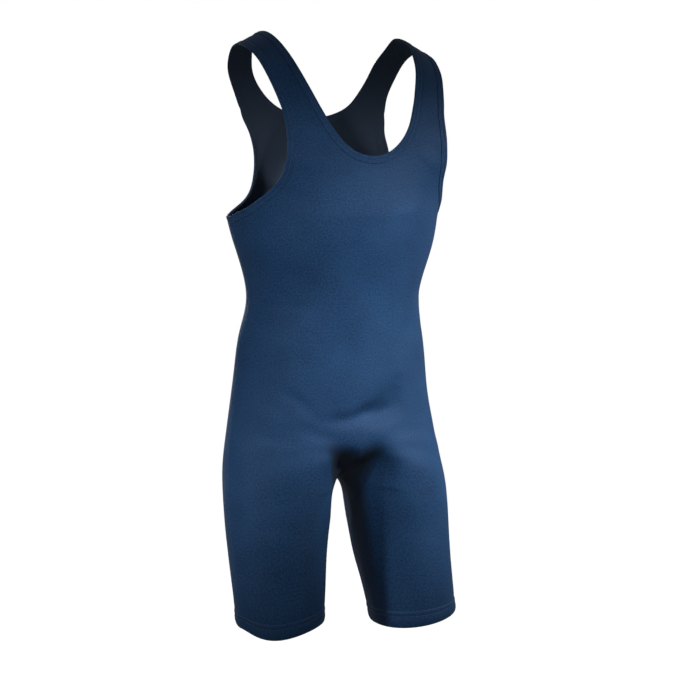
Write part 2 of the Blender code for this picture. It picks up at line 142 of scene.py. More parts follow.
# Sections of the body and the legs, at their height on the side seam. "side" is the x of
# the side seam, "middle" its y, "front" and "back" the y of the foremost and rearmost lines.
Body = namedtuple("Body", "height middle side front back")
BODY = many(
    Body,
    (-267, 20.5, 159.5, -125, 95),
    (-300, 16, 152.5, -119, 91),
    (-340, 13, 140.5, -106.5, 84.5),
    (-385, 15, 132.5, -94, 78),
    (-430, 20.5, 141.5, -87, 78.5),
    (-480, 21, 149, -83, 88),
    (-535, 19, 155.5, -81, 103),
    (-590, 13, 164.8, -81, 110),
    (-635, 3, 170.3, -82.5, 101),
    (-680, -4, 172, -83.5, 81),
    (-725, -11, 172, -87, 66),
    (-775, -22, 170.5, -93, 49),
    (-820, -32.5, 169.5, -98.5, 34),
    (-843, -37, 169, -102, 28),
)

# How steeply the sections leave the centre line towards the thighs: the rise in each half
# if it kept on. It keeps the two halves in one soft surface.
Climb = namedtuple("Climb", "height front back")
CLIMB = many(
    Climb,
    (-480, 0, 0),
    (-520, 20, 14),
    (-545, 46, 28),
    (-570, 84, 52),
    (-590, 108, 76),
    (-604, 108, 86),
    (-619, 104, 84),
    (-637, 104, 66),
    (-656, 86, 38),
    (-680, 0, 0),
)
CROTCH_HEIGHT = -680  # of the section that passes through the crotch, on the side seam
HEM_HEIGHT = -843
# How the cloth of each leg hangs at the hem: how much higher it is at the inseam and at the
# side, and how much lower between them on the front, which is as much higher behind. Above a
# skew of 1 the lowest place lies nearer the side, below it nearer the inseam.
Hang = namedtuple("Hang", "inseam side drop skew")
RIGHT_HANG = Hang(8, 0, 12, 1.8)
LEFT_HANG = Hang(-10, 5, 4, 0.7)
THIGH_BACK = 8.0  # the fullest line of the inner thigh lies behind that of the outer

# The inner end of a section at its height on the side seam: "turn" is how far it has turned
# in under the body, in degrees, and "rise" how much higher it lies than the side seam.
Under = namedtuple("Under", "height turn rise")
FRONT_UNDER = many(
    Under,
    (-545, 0, 0),
    (-575, 0.4, 0),
    (-592, 3, 0),
    (-604, 11, 1),
    (-619, 16, 7),
    (-637, 32, 16),
    (-656, 58, 25),
    (-680, 90, 35),
)
BACK_UNDER = many(
    Under,
    (-545, 0, 0),
    (-568, 0.7, 0),
    (-590, 4.5, 0),
    (-612, 16, -1),
    (-635, 34, 3),
    (-658, 60, 15),
    (-680, 90, 35),
)
CROTCH_AT = Vector((0, -4, -645))
CROTCH_SOFT = (72.0, 66.0, 60.0, 52.0)  # reaches of the softening, each narrower than the last
CROTCH_PASSES = 14
Inseam = namedtuple("Inseam", "height x z")
INSEAM = many(
    Inseam,
    (-680, 0, -645),
    (-686, 9.5, -647),
    (-695, 14.5, -656),
    (-714, 18.8, -680),
    (-750, 26.5, -729),
    (-790, 35, -780),
    (-820, 41.5, -818),
    (-843, 45.5, -845),
)
# The x from which the rest of a section spreads. It passes the crotch more softly than the
# inner end does, so that the front and the back of the thigh stay smooth.
Spread = namedtuple("Spread", "height x")
SPREAD = many(
    Spread,
    (-600, 0),
    (-630, 0),
    (-655, 2),
    (-680, 7),
    (-700, 12.5),
    (-722, 19),
    (-750, 26.5),
    (-790, 35),
    (-820, 41.5),
    (-843, 45.5),
)
# The hollow between the thighs, as a share of the depth of the section
Hollow = namedtuple("Hollow", "height front back")
HOLLOWS = many(
    Hollow,
    (-575, 0, 0),
    (-592, 0.015, 0),
    (-604, 0.07, 0.01),
    (-619, 0.19, 0.03),
    (-637, 0.31, 0.06),
    (-656, 0.36, 0.08),
    (-680, 0.25, 0.06),
    (-705, 0.08, 0.02),
    (-730, 0, 0),
)
HOLLOW_REACH = 43.0

# Finished edges of the neck and of an armhole, as points
NECK_FRONT = (
    (0, -113, -183),
    (25, -112.5, -177.5),
    (45, -110, -162.4),
    (57.6, -107, -146),
    (67, -102.5, -129.4),
    (77.7, -91.6, -104),
    (86.8, -78.9, -78.4),
    (95.8, -62.8, -52.3),
    (103.8, -36.4, -25),
    (108.8, -4, -6),
)
SHOULDER_AT_NECK = (111, 25.4, 0)
NECK_BACK = (
    (110, 50, -12.5),
    (103.7, 71.9, -32),
    (93.5, 82.2, -57),
    (77.9, 85.3, -82.5),
    (61, 83.8, -99.7),
    (33, 83.5, -113),
    (0, 84, -118),
)
SHOULDER_AT_ARM = (148.8, 22, -21)
ARMHOLE_FRONT = (
    (148.8, 5, -24),
    (148, -11.5, -29.7),
    (146, -32.8, -40.1),
    (138.3, -67.6, -76.2),
    (132.8, -81.6, -101.9),
    (127.6, -92.5, -127.2),
    (126.9, -101, -155.1),
    (129.2, -102, -191.9),
    (133.3, -92, -212.6),
    (144.8, -50, -243.3),
    (152.9, -25, -255.3),
    (160.5, 3, -263),
)
UNDERARM = (160, 20.5, -265.5)
ARMHOLE_BACK = (
    (154.5, 29, -260),
    (136.5, 36, -250),
    (122, 37, -236),
    (113.5, 36, -214),
    (111.5, 38, -188),
    (111, 45.5, -163),
    (111.5, 58.5, -141),
    (115.5, 70, -116),
    (122.6, 77, -93.6),
    (136.2, 75, -59.4),
    (146.3, 52, -29),
)

# Where the row from the bottom of the neck meets the armhole, as a share of its seam, and
# the height at the centre of the row that ends under the arm.
Corner = namedtuple("Corner", "armhole_share chest_height")
FRONT_CORNER = Corner(0.76, -276)
BACK_CORNER = Corner(0.62, -269)

# Across a folded binding and a turned hem: how far a line of the strip lies from its
# start, and how far its outer and inner faces lie above the panel's face.
Line = namedtuple("Line", "inset top under")
BINDING_LINES = many(
    Line,
    (0.0, -0.45, -1.0),
    (0.2, 0.0, -1.4),
    (0.6, 0.42, -1.7),
    (1.2, 0.68, -1.85),
    (2.2, 0.82, -1.9),
    (4.3, 0.82, -1.9),
    (5.2, 0.56, -1.85),
    (5.8, 0.1, -1.7),
    (6.4, 0.56, -1.85),
    (7.4, 0.86, -1.9),
    (8.7, 0.84, -1.9),
    (9.5, 0.66, -1.85),
    (10.0, 0.38, -1.7),
    (10.4, 0.46, -1.75),
    (10.75, 0.2, -1.75),
    (BINDING_WIDTH, -BAND_DIP, -BAND_DIP - PANEL_WALL),
)
HEM_LINES = many(
    Line,
    (0.0, -HEM_DIP, -HEM_DIP - PANEL_WALL),
    (0.6, 0.05, -1.6),
    (1.2, 0.2, -1.7),
    (2.0, 0.66, -1.9),
    (3.4, 0.86, -2.0),
    (4.8, 0.74, -2.0),
    (5.8, 0.4, -1.9),
    (6.6, 0.36, -1.9),
    (7.6, 0.74, -2.0),
    (9.6, 1.12, -2.1),
    (12.0, 1.3, -2.1),
    (14.4, 1.22, -2.1),
    (16.4, 0.9, -2.0),
    (17.8, 0.42, -1.9),
    (18.5, 0.0, -1.7),
    (18.85, -0.4, -1.4),
    (HEM_DEPTH, -0.75, -1.1),
)
BINDING_STITCH_INSETS = (5.8, 10.0)
HEM_STITCH_INSETS = (1.1, 6.3)
SEAM_STITCH_INSET = 2.3  # of the two rows beside a seam
SEAM_STITCH_START = 2.0  # below the armhole's binding

# Creases as bent troughs on the front or the back, in x and z. The line runs through three
# points. A depth below 0 makes a ridge. "lip" is the share of the depth by which the cloth
# below the line bulges the other way.
Crease = namedtuple("Crease", "start middle end width depth lip", defaults=[0.0])
FRONT_CREASES = many(
    Crease,
    # under the belly
    ((-58, -554), (8, -543), (60, -500), 9, 4.0, 0.2),
    ((4, -545), (46, -539), (62, -506), 12, 9.0),
    ((0, -553), (42, -547), (76, -524), 16, 3.0),
    ((-40, -552), (10, -556), (66, -548), 10, 1.5, 0.3),
    ((-30, -512), (14, -502), (46, -482), 14, -0.9),
    ((-108, -510), (-87, -528), (-70, -548), 8, 1.7, 0.3),
    ((-136, -540), (-110, -552), (-86, -554), 17, -1.6),
    # over the thighs
    ((-142, -574), (-112, -582), (-78, -592), 6, 0.9, 0.4),
    ((-84, -562), (-66, -574), (-46, -578), 8, 1.2),
    ((-40, -584), (-17, -587), (4, -590), 10, -1.1),
    ((10, -600), (28, -594), (44, -582), 8, 1.3),
    ((70, -590), (106, -606), (140, -612), 12, 0.9, 0.3),
    ((-150, -698), (-122, -704), (-92, -718), 9, 0.8, 0.3),
    ((56, -700), (86, -714), (128, -722), 13, 0.8, 0.2),
    # waist
    ((-122, -392), (-100, -394), (-76, -391), 5, 0.7, 0.3),
    ((-130, -379), (-118, -381), (-106, -384), 4, -0.6),
    ((-122, -340), (-104, -345), (-88, -352), 12, 1.0, 0.2),
    ((84, -366), (104, -372), (126, -370), 9, 0.8, 0.3),
    ((78, -420), (100, -428), (128, -424), 11, 0.8, 0.2),
    # chest
    ((72, -176), (96, -188), (122, -206), 6, -0.7, 0.2),
    ((88, -160), (106, -172), (124, -188), 4, 0.6),
    ((34, -262), (60, -258), (84, -248), 7, -0.8, 0.2),
    ((-118, -176), (-98, -184), (-76, -182), 6, 0.6, 0.3),
    ((-128, -232), (-104, -240), (-84, -256), 9, 0.7, 0.2),
)
BACK_CREASES = many(
    Crease,
    # small of the back and waist
    ((-78, -404), (-6, -416), (70, -406), 13, 1.6, 0.3),
    ((-54, -434), (10, -440), (84, -428), 10, 1.1, 0.3),
    ((-118, -380), (-96, -388), (-70, -386), 7, 0.9, 0.3),
    ((66, -376), (92, -384), (120, -378), 8, 0.9, 0.2),
    # between the shoulders and under the arms
    ((-104, -196), (-84, -214), (-58, -226), 9, 0.8, 0.2),
    ((56, -228), (84, -218), (106, -200), 9, 0.8, 0.2),
    ((-142, -284), (-112, -292), (-80, -290), 8, 0.8, 0.3),
    ((82, -296), (112, -296), (144, -288), 7, 0.8, 0.2),
    # seat and thighs
    ((-24, -560), (-14, -606), (-8, -640), 14, 1.6),
    ((20, -566), (12, -612), (8, -640), 12, 1.3),
    ((-128, -656), (-90, -668), (-46, -662), 13, 1.8, 0.3),
    ((44, -660), (88, -672), (132, -662), 13, 1.8, 0.3),
    ((-136, -716), (-100, -724), (-66, -722), 10, 0.8, 0.3),
    ((62, -734), (96, -738), (138, -726), 10, 0.8, 0.3),
)
CREASE_STEPS = 40
CREASE_TIP = 0.06  # share of a half wave that is cut off at each end of a crease
CREASE_FULLNESS = 0.8  # the lower, the longer it keeps its depth
LIP_AT = -1.9  # in widths of the crease
LIP_WIDTH = 0.9

# Slow unevenness below the chest, as waves: their length in each direction, and their height
Wave = namedtuple("Wave", "across down turn height")
WAVES = many(
    Wave,
    (170, 130, 0.4, 0.32),
    (96, -150, 2.1, 0.2),
    (-74, 88, 4.0, 0.14),
)
WAVES_RADIUS = 130.0  # at which their length across is measured
WAVES_START = -200.0
WAVES_FADE = 80.0


def spline(knots, values):
    """A natural cubic curve through the values at the knots."""
    x = np.asarray(knots, float)
    y = np.asarray(values, float)
    gap = np.diff(x)
    slope = np.diff(y, axis=0) / gap.reshape((-1,) + (1,) * (y.ndim - 1))
    system = np.eye(len(x))
    right = np.zeros_like(y)
    for i in range(1, len(x) - 1):
        system[i, i - 1 : i + 2] = gap[i - 1], 2 * (gap[i - 1] + gap[i]), gap[i]
        right[i] = 6 * (slope[i] - slope[i - 1])
    bend = np.linalg.solve(system, right)

    def at(where):
        where = np.asarray(where, float)
        i = np.clip(np.searchsorted(x, where) - 1, 0, len(gap) - 1)
        shape = where.shape + (1,) * (y.ndim - 1)
        h = gap[i].reshape(shape)
        a = (x[i + 1] - where).reshape(shape)
        b = (where - x[i]).reshape(shape)
        curved = (bend[i] * a**3 + bend[i + 1] * b**3) / (6 * h)
        before = (y[i] / h - bend[i] * h / 6) * a
        after = (y[i + 1] / h - bend[i + 1] * h / 6) * b
        return curved + before + after

    return at


def joined(upper, lower):
    """A curve through two tables of (knot, value). Along the lower one it follows that alone."""
    whole = spline(*zip(*upper, *lower))
    below = spline(*zip(*lower))
    start = lower[0][0]
    return lambda where: np.where(where < start, whole(where), below(where))


def down_of(height):
    """The tape length at a height below the swing."""
    return SWING_LENGTH + SWING_Z - height


def at_heights(table, value):
    """A curve over the tape length through a value from each row of a table, level beyond it."""
    downs = [down_of(row.height) for row in table]
    curve = spline(downs, [value(row) for row in table])
    return lambda down: curve(np.clip(down, downs[0], downs[-1]))


class Figure:
    """The front or the back of the general figure under the cloth, for x above 0."""

    def __init__(self, facing, shoulder, under):
        self.facing = facing  # -1 for the front, 1 for the back
        self.swing = 90 - SHOULDER_LEAN * facing

        def here(row):
            return row.front if facing < 0 else row.back

        def depth(row):
            return facing * (here(row) - row.middle)

        def full_length(upper, lower):
            return joined(
                [(row.down, upper(row)) for row in shoulder],
                [(down_of(row.height), lower(row)) for row in BODY],
            )

        self.middle = full_length(lambda row: row.middle, lambda row: row.middle)
        self.side = full_length(lambda row: row.half_width, lambda row: row.side)
        self.reach = full_length(lambda row: row.reach, depth)
        self.climb = at_heights(CLIMB, here)
        self.under = at_heights(under, lambda row: row[1:])
        self.inseam = at_heights(INSEAM, lambda row: row[1:])
        self.spread = at_heights(SPREAD, lambda row: row.x)
        self.hollow = at_heights(HOLLOWS, here)

    def inner_end(self, down):
        """x and z of the inner end of the sections, and how far it has turned in."""
        degrees, rise = np.moveaxis(self.under(down), -1, 0)
        x, leg_z = np.moveaxis(self.inseam(down), -1, 0)
        return x, np.where(down > CROTCH, leg_z, level(down) + rise), -np.radians(degrees)

    def at(self, down, share):
        """Points of the surface. share runs from 0 at the inner end to 1 at the widest line."""
        down, share = np.broadcast_arrays(np.asarray(down, float), np.asarray(share, float))
        middle, reach, side = self.middle(down), self.reach(down), self.side(down)
        spread, hollow, climb = self.spread(down), self.hollow(down), self.climb(down)
        x0, z0, first_turn = self.inner_end(down)
        turn = first_turn + share * (math.pi / 2 - first_turn)
        half_width = (side - spread) / (1 - np.sin(first_turn))
        x = side - half_width * (1 - np.sin(turn)) + (x0 - spread) * (1 - share) ** 3
        out = reach * np.cos(turn) * (1 - hollow * np.exp(-((x / HOLLOW_REACH) ** 4)))
        swung = self.swing * np.minimum(down / SWING_LENGTH, 1)
        lean = np.radians(SHOULDER_LEAN * self.facing + swung)
        y = middle + self.facing * out * np.sin(lean)
        z = level(down) + out * np.cos(lean)
        z += (z0 - level(down)) * (1 - share) ** 2 * (1 + 2 * share)
        z += climb * share * (1 - share) ** 2
        y += THIGH_BACK * (np.sin(math.pi * leg_share(down)) * np.cos(math.pi / 2 * share)) ** 2
        return np.stack([x, y, z], -1)

    def find(self, points):
        """Where points near the surface lie on it, as down and share, above the hips."""
        x, y, z = np.moveaxis(points, -1, 0)
        y = y - SWING_Y
        z = z - SWING_Z
        lean = np.degrees(np.arctan2(self.facing * y, z)) - SHOULDER_LEAN * self.facing
        down = np.where(z < 0, SWING_LENGTH - z, SWING_LENGTH * lean / self.swing)
        out = np.where(z < 0, self.facing * (y + SWING_Y - self.middle(down)), np.hypot(y, z))
        turn = np.arctan2(x / self.side(down), out / self.reach(down))
        return np.stack([down, turn / (math.pi / 2)], -1)

    def normal(self, down, share):
        """The outward direction of the surface."""
        share = np.clip(share, SHARE_STEP, 1 - SHARE_STEP)
        along = self.at(down + STEP, share) - self.at(down - STEP, share)
        across = self.at(down, share + SHARE_STEP) - self.at(down, share - SHARE_STEP)
        return unit(np.cross(across, along) * self.facing)

    def run(self, down, share):
        """The tape length across the surface from the inner end."""
        parts = np.linspace(0, 1, RUN_STEPS + 1)
        points = self.at(down[..., None], share[..., None] * parts)
        return np.linalg.norm(np.diff(points, axis=-2), axis=-1).sum(-1)


def level(down):
    """The height of the line about which a section is drawn."""
    return SWING_Z - np.maximum(down - SWING_LENGTH, 0)


def leg_share(down):
    """From 0 at the crotch to 1 at the hem."""
    return np.clip((down - CROTCH) / (HEM - CROTCH), 0, 1)


def hang(figure, down, share, mirror):
    """How much higher the leg's cloth lies than its section, on the left (1) or the right (-1)."""
    leg = LEFT_HANG if mirror > 0 else RIGHT_HANG
    lowest = np.sin(math.pi * share**leg.skew) ** 2
    side = np.sin(math.pi / 2 * share) ** 2
    return leg_share(down) ** 2 * (
        figure.facing * leg.drop * lowest + leg.inseam * (1 - side) + leg.side * side
    )


def laid(figure, down, share, mirror):
    """Points of the cloth as it hangs on the left (1) or the right (-1)."""
    points = figure.at(down, share) * (mirror, 1, 1)
    points[..., 2] += hang(figure, down, share, mirror)
    return points


def unit(vectors):
    return vectors / np.linalg.norm(vectors, axis=-1, keepdims=True)


def tape(points):
    """The length along a line of points, at each of them."""
    return np.cumsum([0, *np.linalg.norm(np.diff(points, axis=0), axis=1)])


def on_line(line, lengths, where):
    """Points on a line of points whose lengths are known, at other lengths."""
    return np.stack([np.interp(where, lengths, column) for column in line.T], -1)


CROTCH = down_of(CROTCH_HEIGHT)
HEM = down_of(HEM_HEIGHT)
HEM_TOP = HEM - HEM_DEPTH
FRONT = Figure(-1, FRONT_SHOULDER, FRONT_UNDER)
BACK = Figure(1, BACK_SHOULDER, BACK_UNDER)


def drawn_line(before, points, after):
    """A smooth line through points, led in and out by more of them, and its length at each."""
    path = np.array([*before, *points, *after], float)
    knots = tape(path)
    return spline(knots, path), knots[len(before) : len(before) + len(points)]


class Border:
    """A finished edge on one figure from the shoulder, and the seam of its binding inside it."""

    def __init__(self, figure, line, start, end):
        where = np.linspace(start, end, FINE + 1)
        self.figure = figure
        self.edge = figure.find(line(where))
        along = unit(line(where + STEP) - line(where - STEP))
        into = unit(np.cross(along, figure.normal(*self.edge.T)))
        self.seam = figure.find(figure.at(*self.edge.T) + BINDING_WIDTH * into)

    def sample(self, shares):
        """The edge and the seam at shares of the seam's length."""
        lengths = tape(self.figure.at(*self.seam.T))
        where = np.asarray(shares) * lengths[-1]
        return [on_line(line, lengths, where) for line in (self.edge, self.seam)]


def neck_borders():
    """The neck's front and back borders, each from the shoulder to the centre line."""
    points = [*NECK_FRONT, SHOULDER_AT_NECK, *NECK_BACK]
    before = [(-x, y, z) for x, y, z in NECK_FRONT[2:0:-1]]
    after = [(-x, y, z) for x, y, z in NECK_BACK[-2:-4:-1]]
    line, length = drawn_line(before, points, after)
    shoulder = length[len(NECK_FRONT)]
    front = Border(FRONT, line, shoulder, length[0])
    back = Border(BACK, line, shoulder, length[-1])
    for one, other in meeting(front, back):
        one[-1, 1] = other[-1, 1] = 0
    return front, back


def armhole_borders():
    """The armhole's front and back borders, each from the shoulder to under the arm."""
    points = [SHOULDER_AT_ARM, *ARMHOLE_FRONT, UNDERARM, *ARMHOLE_BACK, SHOULDER_AT_ARM]
    line, length = drawn_line(ARMHOLE_BACK[-3:], points, ARMHOLE_FRONT[:3])
    underarm = length[len(ARMHOLE_FRONT) + 1]
    front = Border(FRONT, line, length[0], underarm)
    back = Border(BACK, line, length[-1], underarm)
    for one, other in meeting(front, back):
        one[-1] = other[-1] = max(one[:, 0].max(), other[:, 0].max()), 1
    return front, back


def meeting(front, back):
    """Both edges, then both seams, made to start at one point of the shoulder seam."""
    for one, other in ((front.edge, back.edge), (front.seam, back.seam)):
        one[0] = other[0] = 0, (one[0, 1] + other[0, 1]) / 2
        yield one, other


def between(one, other, shares):
    """Grid of down and share from the rows' inner ends to their outer ends."""
    return one[:, None] + (other - one)[:, None] * np.asarray(shares)[:, None]


def armhole_shares(corner):
    """Where the rows of a panel meet its armhole, as shares of the seam."""
    chest = np.linspace(corner.armhole_share, 1, CHEST_ROWS + 1)
    return np.concatenate([STRAP * corner.armhole_share, chest[1:]])


def at_inner_end(down):
    return np.stack([down, 0 * down], -1)


def panel_grid(neck, armhole, corner):
    """down and share of the grid of half a panel, row by row from the shoulder to the hem."""
    body = np.linspace(0, 1, BODY_ROWS + 1)[:, None]
    leg = CROTCH + (HEM_TOP - CROTCH) * np.linspace(0, 1, LEG_ROWS + 1)[1:] ** LEG_SPREAD
    neck_seam = neck.sample(STRAP)[1]
    chest_down = down_of(corner.chest_height)
    centre = at_inner_end(np.linspace(neck_seam[-1, 0], chest_down, CHEST_ROWS + 1))
    arm_seam = armhole.sample(armhole_shares(corner))[1]
    underarm = arm_seam[-1]
    inner_body = centre[-1] + body * (np.array((CROTCH, 0)) - centre[-1])
    outer_body = underarm + body * (np.array((CROTCH, 1)) - underarm)
    inner_leg = at_inner_end(leg)
    inner = np.concatenate([neck_seam, centre[1:], inner_body[1:], inner_leg])
    outer = np.concatenate([arm_seam, outer_body[1:], inner_leg + (0, 1)])
    return between(inner, outer, ACROSS)


def panel_dip(figure, grid, seams):
    """How far the panel sinks towards the seams round it."""
    down, share = grid[..., 0], grid[..., 1]
    points = figure.at(down, share)
    dips = [HEM_DIP * bell((HEM_TOP - down) / BAND_DIP_REACH)]
    for seam in seams:
        gaps = [np.linalg.norm(points - point, axis=-1) for point in figure.at(*seam.T)]
        dips.append(BAND_DIP * bell(np.min(gaps, axis=0) / BAND_DIP_REACH))
    run = figure.run(down, share)
    side = figure.run(down, np.ones_like(share)) - run
    inseam = np.where(down > CROTCH, run, NO_SEAM)
    for gap in (side, inseam, down):
        dips.append(SEAM_DIP * bell(gap / SEAM_DIP_REACH))
    return np.max(dips, axis=0)


def bell(gap):
    """1 at no gap, falling to nothing on both sides."""
    return np.exp(-(gap**2))


def strip_grid(border, shares):
    """down and share of the grid of a binding."""
    edge, seam = border.sample(shares)
    return between(edge, seam, [line.inset / BINDING_WIDTH for line in BINDING_LINES])


def hem_grid():
    inner = at_inner_end(HEM_TOP + np.array([line.inset for line in HEM_LINES]))
    return between(inner, inner + (0, 1), ACROSS)


def crease_depth(places, crease):
    """How deep one crease is at places, which are rows of x and z."""
    share = np.linspace(0, 1, CREASE_STEPS + 1)[:, None]
    start, middle, end = np.array(crease[:3], float)
    bend = 2 * middle - (start + end) / 2
    path = (1 - share) ** 2 * start + 2 * share * (1 - share) * bend + share**2 * end
    heading = unit(np.gradient(path, axis=0))
    nearest = np.argmin(((places[:, None] - path) ** 2).sum(-1), axis=1)
    offset = places - path[nearest]
    along = heading[nearest]
    across = (along[:, 0] * offset[:, 1] - along[:, 1] * offset[:, 0]) / crease.width
    past_end = (offset * along).sum(-1) / crease.width
    wave = CREASE_TIP + (1 - 2 * CREASE_TIP) * nearest / CREASE_STEPS
    fade = np.sin(math.pi * wave) ** CREASE_FULLNESS * bell(past_end)
    lip = crease.lip * bell((across - LIP_AT) / LIP_WIDTH)
    return crease.depth * fade * (bell(across) - lip)


def relief(points):
    """How far the cloth lies below the plain figure at points, in mm."""
    x, y, z = points.T
    depth = np.zeros(len(points))
    places = points[:, [0, 2]]
    for table, here in ((FRONT_CREASES, y < SWING_Y), (BACK_CREASES, y >= SWING_Y)):
        for crease in table:
            depth[here] += crease_depth(places[here], crease)
    turn = np.arctan2(x, -y) * WAVES_RADIUS
    body = np.clip((WAVES_START - z) / WAVES_FADE, 0, 1)
    for wave in WAVES:
        phase = math.tau * (turn / wave.across + z / wave.down) + wave.turn
        depth += body * wave.height * np.sin(phase)
    return depth


class Skin:
    """The garment's outer faces in one surface, each face marked with its piece."""

    def __init__(self):
        self.mesh = bmesh.new()
        self.pieces = []
        verts = self.mesh.verts.layers
        self.piece_of = self.mesh.faces.layers.int.new("piece")
        self.cloth = verts.float_vector.new("cloth")  # mm across, mm down, inset in a strip
        self.top = verts.float.new("top")
        self.under = verts.float.new("under")
        self.outward = verts.float_vector.new("outward")

    def add(self, piece, figure, grid, inset, top, under, turned=False):
        """Lay a grid of down and share on the figure, on the piece's own side or on both.

        turned swaps which way its faces look.
        """
        if piece not in self.pieces:
            self.pieces.append(piece)
        rows, columns = grid.shape[0] - 1, grid.shape[1] - 1
        down, share = grid[..., 0], grid[..., 1]
        run = figure.run(down, share)
        inset, top, under = (np.broadcast_to(part, down.shape) for part in (inset, top, under))
        own_side = [mirror for side, mirror in SIDES.items() if piece.startswith(side)]
        for mirror in own_side or (1, -1):
            points = laid(figure, down, share, mirror)
            made = bmesh.ops.create_grid(
                self.mesh, x_segments=columns, y_segments=rows, size=0.5
            )["verts"]
            for vert in made:
                here = round((vert.co.y + 0.5) * rows), round((vert.co.x + 0.5) * columns)
                vert.co = points[here]
                vert[self.cloth] = mirror * run[here], down[here], inset[here]
                vert[self.top] = top[here]
                vert[self.under] = under[here]
            faces = {face for vert in made for face in vert.link_faces}
            for face in faces:
                face[self.piece_of] = self.pieces.index(piece)
            if (figure.facing * mirror < 0) != turned:
                bmesh.ops.reverse_faces(self.mesh, faces=list(faces))

    def sew(self):
        """Join the grids, soften the crotch, and put in the creases."""
        bmesh.ops.remove_doubles(self.mesh, verts=self.mesh.verts[:], dist=SEWN_WITHIN)
        all_ways = {f"use_axis_{axis}": True for axis in "xyz"}
        for reach in CROTCH_SOFT:
            crotch = [vert for vert in self.mesh.verts if (vert.co - CROTCH_AT).length < reach]
            for _ in range(CROTCH_PASSES):
                bmesh.ops.smooth_vert(self.mesh, verts=crotch, factor=0.5, **all_ways)
        self.mesh.normal_update()
        verts = self.mesh.verts[:]
        depths = relief(np.array([vert.co for vert in verts]))
        for vert, depth in zip(verts, depths):
            vert.co -= vert.normal * depth
        self.mesh.normal_update()
        for vert in verts:
            vert[self.outward] = vert.normal

    def face_tree(self):
        """The outer face of all the cloth, to lay stitches on."""
        mesh = self.mesh.copy()
        outward = mesh.verts.layers.float_vector["outward"]
        top = mesh.verts.layers.float["top"]
        for vert in mesh.verts:
            vert.co += vert[outward] * vert[top]
        mesh.normal_update()
        tree = BVHTree.FromBMesh(mesh)
        mesh.free()
        return tree

    def piece(self, name):
        """The closed wall of one piece."""
        mesh = self.mesh.copy()
        number = self.pieces.index(name)
        piece_of = mesh.faces.layers.int["piece"]
        others = [face for face in mesh.faces if face[piece_of] != number]
        bmesh.ops.delete(mesh, geom=others, context="FACES")
        verts = mesh.verts.layers
        inner_face = verts.float.new("inner_face")
        top, under = verts.float["top"], verts.float["under"]
        outward = verts.float_vector["outward"]
        made = bmesh.ops.extrude_face_region(mesh, geom=mesh.faces[:])["geom"]
        inner = {part for part in made if isinstance(part, bmesh.types.BMVert)}
        for vert in mesh.verts:
            vert[inner_face] = vert in inner
            vert.co += vert[outward] * vert[under if vert in inner else top]
        bmesh.ops.recalc_face_normals(mesh, faces=mesh.faces[:])
        return mesh


def put(name, data):
    """A new object in the scene."""
    made = bpy.data.objects.new(name, data)
    bpy.context.scene.collection.objects.link(made)
    return made


def put_mesh(name, mesh, material):
    data = bpy.data.meshes.new(name)
    mesh.to_mesh(data)
    mesh.free()
    data.materials.append(material)
    return put(name, data)


def write_out(name, mesh, material, node=None):
    """A named piece in metres about the point where the garment is held, riding with it."""
    for vert in mesh.verts:
        vert.co = (vert.co - HELD_AT) * MM
    for face in mesh.faces:
        face.smooth = True
    piece = put_mesh(name, mesh, material)
    piece.data.set_sharp_from_angle(angle=RIM_ANGLE)
    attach(piece, "root")
    if node:
        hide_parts(node)
    return piece


# Stitching

Stitch = namedtuple("Stitch", "pitch length width")
BINDING_STITCH = Stitch(2.9, 2.3, 0.42)
HEM_STITCH = Stitch(3.1, 2.5, 0.5)
SEAM_STITCH = Stitch(2.7, 2.1, 0.4)
BEAD_SIDES = 6
BEAD_RINGS = 4
BEAD_PITCH = 4.0  # of beads still in a straight row, where each is 2 long
BEAD_FLATNESS = 0.8
STITCH_RISE = 0.12  # of its middle above the cloth, as a share of its width


def straight_row(count):
    """Beads end to end along x, BEAD_PITCH apart, each from -1 to 1 about its own middle."""
    row = thread_mesh()
    lying_down = Matrix.Rotation(math.pi / 2, 4, "Y")
    bmesh.ops.create_uvsphere(
        row, u_segments=BEAD_SIDES, v_segments=BEAD_RINGS, radius=1, matrix=lying_down
    )
    made = 1
    while made < count:
        more = min(made, count - made)
        limit = (more - 0.5) * BEAD_PITCH
        faces = [face for face in row.faces if face.calc_center_median().x < limit]
        copies = bmesh.ops.duplicate(row, geom=faces)["geom"]
        verts = [part for part in copies if isinstance(part, bmesh.types.BMVert)]
        bmesh.ops.translate(row, verts=verts, vec=(made * BEAD_PITCH, 0, 0))
        made += more
    return row


def stitch_row(mesh, line, tree, stitch):
    """Add stitches end to end along a line of points, laid on the cloth."""
    lengths = tape(line)
    count = max(round(lengths[-1] / stitch.pitch), 1)
    ends = np.linspace(0, lengths[-1], count + 1)
    middles = (ends[1:] + ends[:-1]) / 2
    step = stitch.length / 2

    def on_cloth(where):
        return [tree.find_nearest(Vector(place)) for place in on_line(line, lengths, where)]

    beds = []
    for middle, here, back, ahead in zip(
        middles, on_cloth(middles), on_cloth(middles - step), on_cloth(middles + step)
    ):
        place, up = here[0], here[1]
        heading = (ahead[0] - back[0]).normalized()
        across = up.cross(heading).normalized()
        up = heading.cross(across)
        beds.append((middle, place + up * stitch.width * STITCH_RISE, heading, across, up))
    row = straight_row(count)
    along = row.verts.layers.float_vector["cloth"]
    half_width = stitch.width / 2
    for vert in row.verts:
        number = round(vert.co.x / BEAD_PITCH)
        middle, place, heading, across, up = beds[number]
        x = (vert.co.x - number * BEAD_PITCH) * step
        y = vert.co.y * half_width
        z = vert.co.z * half_width * BEAD_FLATNESS
        vert[along] = middle + x, y, z
        vert.co = place + heading * x + across * y + up * z
    data = bpy.data.meshes.new("row")
    row.to_mesh(data)
    row.free()
    mesh.from_mesh(data)
    bpy.data.meshes.remove(data)


